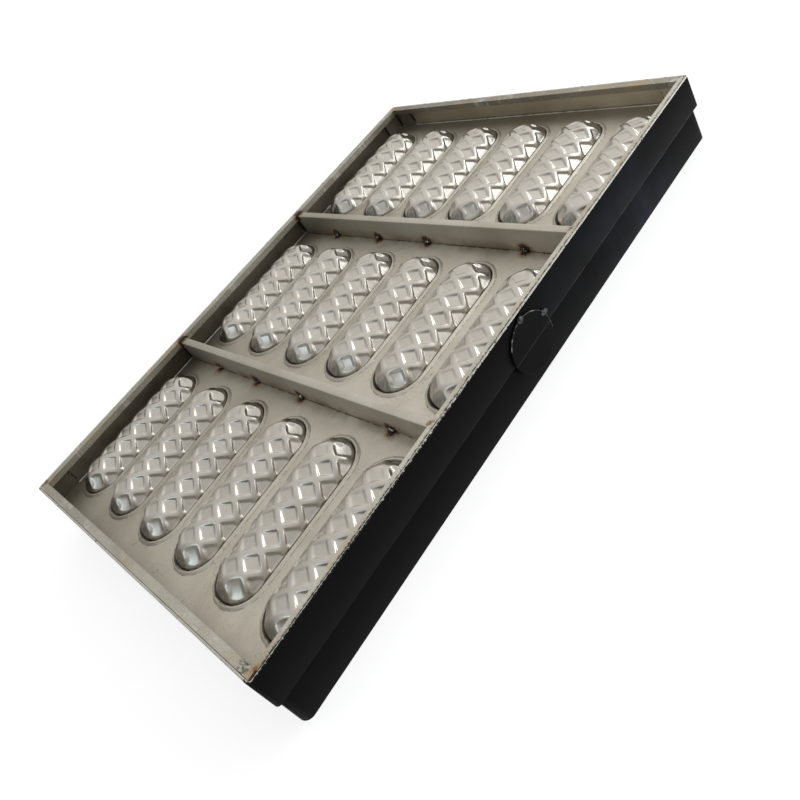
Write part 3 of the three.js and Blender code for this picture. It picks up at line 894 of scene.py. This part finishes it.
def cup_mesh(material):
    bm = bmesh.new()
    skins = []
    for inset in (0, CUP_SHEET):
        points = cup_skin(inset)
        skins.append([[bm.verts.new(point) for point in line] for line in points])
    for grid in skins:
        for low, high in zip(grid, grid[1:]):
            for i in range(len(low) - 1):
                bm.faces.new((low[i], low[i + 1], high[i + 1], high[i]))
    outer, inner = skins
    for side in (0, -1):
        for i in range(len(outer[0]) - 1):
            bm.faces.new((outer[side][i], outer[side][i + 1], inner[side][i + 1], inner[side][i]))
    bmesh.ops.remove_doubles(bm, verts=bm.verts, dist=CUP_MERGE)
    return mesh_from("cup_form", bm, [material], sharp=70)


def build_cups():
    mesh = cup_mesh(cup_steel())
    for name, centre in cup_places().items():
        piece(name.replace("cup_", "waffle_cup_"), mesh, [name], centre)


# Pan

def foot_loop(centre, grow, z):
    """Outline of a cup's foot, grown outward."""
    half = CUP_HALF + grow
    straight = CUP_TIP - CUP_HALF
    loop = []
    for end in (1, -1):
        for step in range(2 * CUP_STEPS_END + 1):
            turn = step / (2 * CUP_STEPS_END) * math.pi + (0 if end > 0 else math.pi)
            x = half * math.cos(turn)
            y = half * math.sin(turn) + end * straight
            loop.append(Vector((centre.x + x, centre.y + y, z)))
    return loop


def collar_height(share):
    """Height of a collar over the plate, from its outer foot at 0 to the edge of its hole at 1."""
    if share < COLLAR_CREST:
        return COLLAR_RISE * (1 - math.cos(math.pi * share / COLLAR_CREST)) / 2
    rolled = (share - COLLAR_CREST) / (1 - COLLAR_CREST)
    return COLLAR_RISE * (1 - COLLAR_ROLL * rolled ** 2)


def collar_loops(centre):
    """Loops of a collar, from its outer foot over the crest and down into its hole."""
    reach = FIT + COLLAR_WIDTH
    loops = [foot_loop(centre, reach + COLLAR_SKIRT, PLATE_TOP)]
    for step in range(COLLAR_STEPS + 1):
        share = step / COLLAR_STEPS
        grow = reach + (COLLAR_GAP - reach) * share
        loops.append(foot_loop(centre, grow, PLATE_TOP + collar_height(share)))
    loops.append(foot_loop(centre, COLLAR_FOOT_GAP, CUP_LOW.z + UNDER_EDGE))
    loops.append(foot_loop(centre, COLLAR_FOOT_GAP, CUP_LOW.z))
    return loops


def build_pan(material):
    bm = bmesh.new()
    grime_and_shade = bm.verts.layers.float.new("grime_and_shade")
    worn_and_highlit = bm.verts.layers.float.new("worn_and_highlit")
    inner_bend = PAN_BEND - PAN_SHEET
    lip = PLATE_TOP - PAN_BEND - PAN_LIP

    def edge(inset, z):
        return tray_loop(PAN_INSET + inset, PAN_CORNER - inset, z)

    def bend(turn):
        inset = PAN_BEND - inner_bend * math.sin(turn)
        return edge(inset, PLATE_TOP - PAN_BEND + inner_bend * math.cos(turn))

    def bead(turn):
        return edge(PAN_BEND * (1 - math.cos(turn)) / 2, PLATE_TOP + PAN_BEAD * math.sin(turn))

    inside = [bend(step * math.pi / 2 / BEND_STEPS) for step in range(BEND_STEPS + 1)]
    outside = [bead(step * math.pi / BEAD_STEPS) for step in range(BEAD_STEPS + 1)]
    rings = loft(bm, inside + [edge(PAN_SHEET, lip), edge(0, lip)] + outside)
    # Bead rings scuffed bright, partly a painted highlight
    for ring in rings[WORN_AND_HIGHLIT_RINGS]:
        for vert in ring:
            vert[worn_and_highlit] = 1.0
    tops = [rings[-1]]
    unders = [rings[0]]
    for centre in cup_places().values():
        collar = loft(bm, collar_loops(centre))
        # Dirt and painted shade on some rings of the collar
        for ring, dirt_and_shade in COLLAR_DIRT_AND_SHADE.items():
            for vert in collar[ring]:
                vert[grime_and_shade] = dirt_and_shade
        # Painted shade in the gap round each cup, on the side that faces GAP_SIDE
        for ring, dirt_and_shade in GAP_SHADE.items():
            for vert, outer in zip(collar[ring], collar[0]):
                facing = (outer.co - vert.co).normalized().dot(GAP_SIDE)
                vert[grime_and_shade] = max(vert[grime_and_shade], dirt_and_shade * min(max(facing + GAP_SPREAD, 0), 1))
        tops.append(collar[0])
        unders.append(collar[-1])
    fill(bm, tops, True)
    fill(bm, unders, False)
    panels = ["pan_panel_near", "pan_panel_middle", "pan_panel_far"]
    piece("pan_sheet", mesh_from("pan_sheet", bm, [material], sharp=50), panels)


# Bars and welds

def weld_lump(bm, centre, size, seed):
    """Uneven bead of weld metal."""
    made = bmesh.ops.create_icosphere(bm, subdivisions=3, radius=1)
    shift = Vector((seed * WELD_SHIFT[0], seed * WELD_SHIFT[1], 0))
    for vert in made["verts"]:
        uneven = 1 + WELD_UNEVEN * noise.noise(vert.co * WELD_BUMPS + shift)
        vert.co = centre + Vector(a * b for a, b in zip(vert.co, size)) * uneven


def weld_piece(name, bm, material):
    piece(name, mesh_from(name, bm, [material], sharp=80))


def bar_middle(place):
    """Middle line of a bar: its place along the tray comes from its clean far face."""
    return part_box(f"cross_bar_{place}")[1].y - BAR_THICKNESS / 2


def weld_points():
    """Places of the welds on the bars' feet and ends."""
    points = []
    for place in BARS:
        y = bar_middle(place)
        for x in WELDS_ALONG:
            points.append(Vector((TRAY.x + x, y - BAR_THICKNESS / 2, PLATE_TOP + WELD_RADIUS)))
        points.append(Vector((RAIL_LEFT, y, RIM - WELD_RADIUS)))
    return points


def rust_points():
    """Places that only rust: the right ends of the bars and three corners of the rim."""
    points = [Vector((RAIL_RIGHT, bar_middle(place), RIM - BAR_DROP)) for place in BARS]
    near_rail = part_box("rail_near")
    far_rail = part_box("rail_far")
    points.append(Vector((near_rail[0].x, near_rail[1].y, RIM)))
    points.append(Vector((near_rail[1].x, near_rail[1].y, RIM)))
    points.append(Vector((far_rail[0].x, far_rail[0].y, RIM)))
    return points


def build_bars(material, back):
    """Two bars with rounded edges, a little wavy, whose far sides take the near wall's painted mid-grey
    light.
    """
    left = RAIL_LEFT + FIT
    right = RAIL_RIGHT - FIT
    foot = PLATE_TOP + FIT
    top = RIM - BAR_DROP
    steps = round((right - left) / BAR_STEP)
    for seed, place in enumerate(BARS):
        y = bar_middle(place)
        half = BAR_THICKNESS / 2 - BAR_EDGE
        corners = [(y + half, top - BAR_EDGE), (y - half, top - BAR_EDGE),
                   (y - half, foot + BAR_EDGE), (y + half, foot + BAR_EDGE)]
        loops = []
        for step in range(steps + 1):
            x = left + (right - left) * step / steps
            sway = noise.noise(Vector((x * BAR_WAVES, seed * BARS_APART, 0))) * BAR_WANDER
            loop = []
            for quarter, (middle_y, middle_z) in enumerate(corners):
                for part in range(BAR_EDGE_STEPS + 1):
                    turn = (quarter + part / BAR_EDGE_STEPS) * math.pi / 2
                    edge_y = middle_y + sway + BAR_EDGE * math.cos(turn)
                    loop.append(Vector((x, edge_y, middle_z + BAR_EDGE * math.sin(turn))))
            loops.append(loop)
        bm = bmesh.new()
        rings = loft(bm, loops)
        bm.faces.new(rings[0])
        bm.faces.new(rings[-1])
        bmesh.ops.recalc_face_normals(bm, faces=bm.faces)
        for face in bm.faces:
            face.material_index = 1 if face.normal.y > SQUARE_ON else 0
        name = f"bar_strip_{place}"
        piece(name, mesh_from(name, bm, [material, back], sharp=45), [f"cross_bar_{place}"])


def build_bar_welds(bead, run):
    """Beads along the bars' feet and on their left ends, and sooty runs down those ends."""
    bm = bmesh.new()
    points = weld_points()
    for seed, point in enumerate(points):
        on_end = point.x < TRAY.x + WELDS_ALONG[0] - WELD_RADIUS
        shift = Vector((WELD_INWARD if on_end else 0, 0, -WELD_SUNK))
        weld_lump(bm, point + shift, WELD_SHAPE, seed)
    weld_piece("bar_welds", bm, bead)
    bm = bmesh.new()
    seed = len(points)
    for place in BARS:
        for step in range(END_RUN_LUMPS):
            drop = END_RUN_STEP * step
            at = Vector((RAIL_LEFT - END_RUN_IN, bar_middle(place) - END_RUN_SIDE, END_RUN_TOP - drop))
            weld_lump(bm, at, END_RUN_SIZE, seed)
            seed += 1
    weld_piece("bar_end_welds", bm, run)


def build_angle_welds(material):
    """Sooty weld runs down the free edges of the corner angles and in their heels."""
    bm = bmesh.new()
    seed = ANGLE_SEED
    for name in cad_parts:
        if not name.startswith("corner_angle_"):
            continue
        low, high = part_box(name)
        side_x, free_x = (low.x, high.x) if low.x < TRAY.x else (high.x, low.x)
        side_y, free_y = (low.y, high.y) if low.y < TRAY.y else (high.y, low.y)
        heel = (side_x + math.copysign(ANGLE_HEEL, TRAY.x - side_x),
                side_y + math.copysign(ANGLE_HEEL, TRAY.y - side_y))
        runs = [((side_x, free_y), ANGLE_EDGE_SHARES, ANGLE_EDGE_WELD),
                ((free_x, side_y), ANGLE_EDGE_SHARES, ANGLE_EDGE_WELD),
                (heel, ANGLE_HEEL_SHARES, ANGLE_HEEL_WELD)]
        for (x, y), shares, size in runs:
            for share in shares:
                seed += 1
                weld_lump(bm, Vector((x, y, low.z + (high.z - low.z) * share)), size, seed)
    weld_piece("angle_welds", bm, material)


# Side disc

def build_disc(coat, rim, welds):
    """Thin round plate with a crease along the seam, scuffed bright round its upper rim, partly a painted
    highlight, and its two tacks.
    """
    centre = Vector((0, DISC_LOW.y + DISC_RADIUS, DISC_LOW.z + DISC_RADIUS))
    back = SKIRT_HIGH.x + FIT
    front = back + DISC_SHEET
    bm = bmesh.new()

    def ring(radius, x):
        loop = []
        for step in range(DISC_STEPS):
            turn = step / DISC_STEPS * 2 * math.pi
            y = radius * math.cos(turn)
            z = radius * math.sin(turn)
            out = x
            if x > back:
                out -= CREASE_DEPTH * math.exp(-((z + CREASE_DROP) / CREASE_WIDTH) ** 2)
                out += DISC_DENT * noise.noise(Vector((y * DISC_DENTS, z * DISC_DENTS, 1.0)))
            loop.append(Vector((out, centre.y + y, centre.z + z)))
        return loop

    loops = [ring(DISC_RADIUS, back), ring(DISC_RADIUS, front - DISC_EDGE)]
    for part in range(1, DISC_EDGE_STEPS + 1):
        turn = part / DISC_EDGE_STEPS * math.pi / 2
        inset = DISC_EDGE * (1 - math.cos(turn))
        loops.append(ring(DISC_RADIUS - inset, front - DISC_EDGE * (1 - math.sin(turn))))
    for part in range(1, DISC_RINGS):
        loops.append(ring((DISC_RADIUS - DISC_EDGE) * (1 - part / DISC_RINGS), front))
    rings = loft(bm, loops)
    bm.faces.new(rings[0])
    bm.faces.new(rings[-1])
    for face in bm.faces:
        away = face.calc_center_median() - centre
        turn = math.atan2(away.z, away.y)
        on_edge = away.x > front - DISC_EDGE and math.hypot(away.y, away.z) > DISC_RADIUS - DISC_EDGE
        # Upper arc: scuffed bare, partly a painted highlight
        if on_edge and RUBBED_LIT_ARC[0] < turn < RUBBED_LIT_ARC[1]:
            face.material_index = 1
    piece("disc_plate", mesh_from("disc_plate", bm, [coat, rim], sharp=55), ["side_disc"])
    for count, (turn, weld) in enumerate(zip(DISC_WELDS, welds)):
        bm = bmesh.new()
        away = Vector((0, math.cos(turn), math.sin(turn))) * DISC_RADIUS
        weld_lump(bm, Vector((front, centre.y, centre.z)) + away, DISC_WELD_SIZE, DISC_SEED + count)
        weld_piece(f"disc_tack_{count + 1}", bm, weld)


# Solids that stay

def dress_node(name, material, bevel):
    """A solid that keeps its shape, with softened edges and a finer surface."""
    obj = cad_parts[name]
    obj.data.materials.clear()
    obj.data.materials.append(material)
    soft = obj.modifiers.new("soft_edges", "BEVEL")
    soft.width = bevel
    soft.segments = BEVEL_STEPS
    soft.limit_method = "ANGLE"
    soft.angle_limit = BEVEL_ANGLE
    soft.harden_normals = True


# Light and camera

def add_floor():
    bm = bmesh.new()
    bmesh.ops.create_grid(bm, x_segments=8, y_segments=8, size=FLOOR_HALF)
    mesh = mesh_from("floor", bm, [floor_paper()])
    floor = bpy.data.objects.new("floor", mesh)
    bpy.context.scene.collection.objects.link(floor)
    floor.location.z = -FLOOR_DROP


def add_window(name, at, aim, size, power, tint):
    lamp = bpy.data.lights.new(name, "AREA")
    lamp.shape = "RECTANGLE"
    lamp.size, lamp.size_y = size
    lamp.energy = power
    lamp.color = tint
    obj = bpy.data.objects.new(name, lamp)
    bpy.context.scene.collection.objects.link(obj)
    obj.location = at
    obj.rotation_euler = (Vector(aim) - Vector(at)).to_track_quat("-Z", "Y").to_euler()


def add_world():
    """Even studio surroundings, brighter on the side of SKY_BRIGHT_SIDE and dim on the other."""
    world = bpy.data.worlds.new("studio")
    bpy.context.scene.world = world
    world.use_nodes = True
    tree = world.node_tree
    sky = tree.nodes["Background"]
    sky.inputs["Color"].default_value = SKY_TINT
    facing = tree.nodes.new("ShaderNodeVectorMath")
    facing.operation = "DOT_PRODUCT"
    facing.inputs[1].default_value = SKY_BRIGHT_SIDE.normalized()
    tree.links.new(tree.nodes.new("ShaderNodeTexCoord").outputs["Generated"], facing.inputs[0])
    level = tree.nodes.new("ShaderNodeMapRange")
    level.inputs["From Min"].default_value = SKY_DIM_FROM
    level.inputs["To Min"].default_value = SKY_DIM
    level.inputs["To Max"].default_value = SKY_BRIGHT
    tree.links.new(facing.outputs["Value"], level.inputs["Value"])
    tree.links.new(level.outputs[0], sky.inputs["Strength"])


def add_camera():
    lens = bpy.data.cameras.new("photo_camera")
    lens.sensor_width = SENSOR
    lens.lens = SENSOR * FOCAL_PIXELS / IMAGE_SIDE
    lens.shift_x = (IMAGE_SIDE / 2 - CENTRE_PIXEL[0]) / IMAGE_SIDE
    lens.shift_y = (CENTRE_PIXEL[1] - IMAGE_SIDE / 2) / IMAGE_SIDE
    lens.clip_start = CLIP_START
    camera = bpy.data.objects.new("photo_camera", lens)
    bpy.context.scene.collection.objects.link(camera)
    look = (CAMERA_AIM - CAMERA_AT).to_track_quat("-Z", "Y").to_matrix().to_4x4()
    camera.matrix_world = Matrix.Translation(CAMERA_AT) @ look @ Matrix.Rotation(CAMERA_ROLL, 4, "Z")
    bpy.context.scene.camera = camera


pan_steel = bare_steel("pan_steel", rusty=True, grimy_shaded=True)
frame_steel = bare_steel("frame_steel", rusty=True, dark_foot=True)
angle_steel = bare_steel("angle_steel")
shaded_angle_steel = bare_steel("shaded_angle_steel")
rail_steel = bare_steel("rail_steel", rusty=True, worn_rail=True)
far_rail_steel = bare_steel("far_rail_steel", rusty=True, worn_rail=True)
# Inside steels: painted shade on the side walls, painted light on the far and near walls
dark_shaded_inside_steel = bare_steel("dark_shaded_inside_steel")
lit_far_inside_steel = bare_steel("lit_far_inside_steel")
lit_near_inside_steel = bare_steel("lit_near_inside_steel")
weld_bead = weld_metal("weld_bead")
weld_black = weld_metal("weld_black")
coat = black_coat("black_coating", COAT_GLOSS)
# Painted shade: the coating's near end, less glossy
shaded_near_coat = black_coat("shaded_near_coating", SHADED_NEAR_GLOSS)
edge_steel = worn_edge("cut_edge")
band_finishes = [coat, dark_shaded_inside_steel, edge_steel, lit_far_inside_steel, lit_near_inside_steel, shaded_near_coat]

build_band("skirt_sheet", "skirt_band", 0, SKIRT_SHEET, SKIRT_CORNER, SKIRT_LOW.z, RIM, band_finishes)
build_band("wall_sheet", "pan_wall", PAN_INSET, PAN_SHEET, PAN_CORNER, WALL_LOW.z, WALL_HIGH.z, band_finishes)
build_pan(pan_steel)
build_cups()
build_bars(frame_steel, lit_near_inside_steel)
build_bar_welds(weld_bead, weld_black)
build_angle_welds(weld_black)
build_disc(coat, rubbed_lit_rim("rubbed_lit_rim"), [weld_metal("weld_coated"), weld_metal("weld_grey")])
# Painted light and shade on two angles: the near left one a shaded copy of the angle steel, the far right one
# the far wall's painted light
angle_finish = {"corner_angle_near_left": shaded_angle_steel, "corner_angle_far_right": lit_far_inside_steel}
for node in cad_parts:
    if node.startswith("rail_"):
        dress_node(node, far_rail_steel if node == "rail_far" else rail_steel, RAIL_BEVEL)
    if node.startswith("corner_angle_"):
        dress_node(node, angle_finish.get(node, angle_steel), ANGLE_BEVEL)

add_floor()
add_world()
for window, form in WINDOWS.items():
    add_window(window, *form)
add_camera()
bpy.context.scene.view_settings.view_transform = "Standard"
